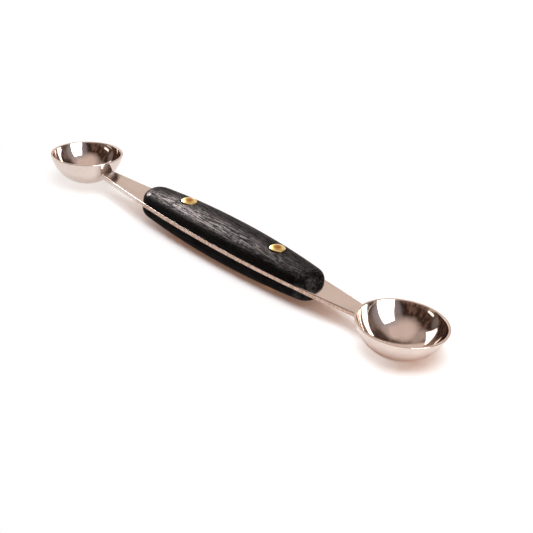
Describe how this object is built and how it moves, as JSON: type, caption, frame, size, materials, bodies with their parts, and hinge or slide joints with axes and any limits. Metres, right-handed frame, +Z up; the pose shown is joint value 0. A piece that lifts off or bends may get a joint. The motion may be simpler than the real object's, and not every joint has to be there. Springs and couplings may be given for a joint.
{
  "type": "melon baller",
  "caption": "Double-ended melon baller: a flat steel tang with a round scoop at each end, and a riveted wooden grip.",
  "frame": {"origin": "on the table, under the middle of the overall length and width: the bottom centre of the bounding box", "axes": "+X along the tool towards the large scoop, +Z up with both bowls open upwards, +Y across the grip"},
  "size_m": [0.1716, 0.0298, 0.0147],
  "materials": {
    "tang_steel": "satin",
    "scoop_steel": "mirror polished",
    "black_wood": "open-grained, waxed",
    "rivet_brass": "polished"
  },
  "bodies": {
    "root": {"tang": "tang_steel", "large_scoop": "scoop_steel", "small_scoop": "scoop_steel", "upper_scale": "black_wood", "lower_scale": "black_wood", "small_end_rivet_socket": "rivet_brass", "small_end_rivet_pin": "rivet_brass", "large_end_rivet_socket": "rivet_brass", "large_end_rivet_pin": "rivet_brass"}
  },
  "joints": []
}
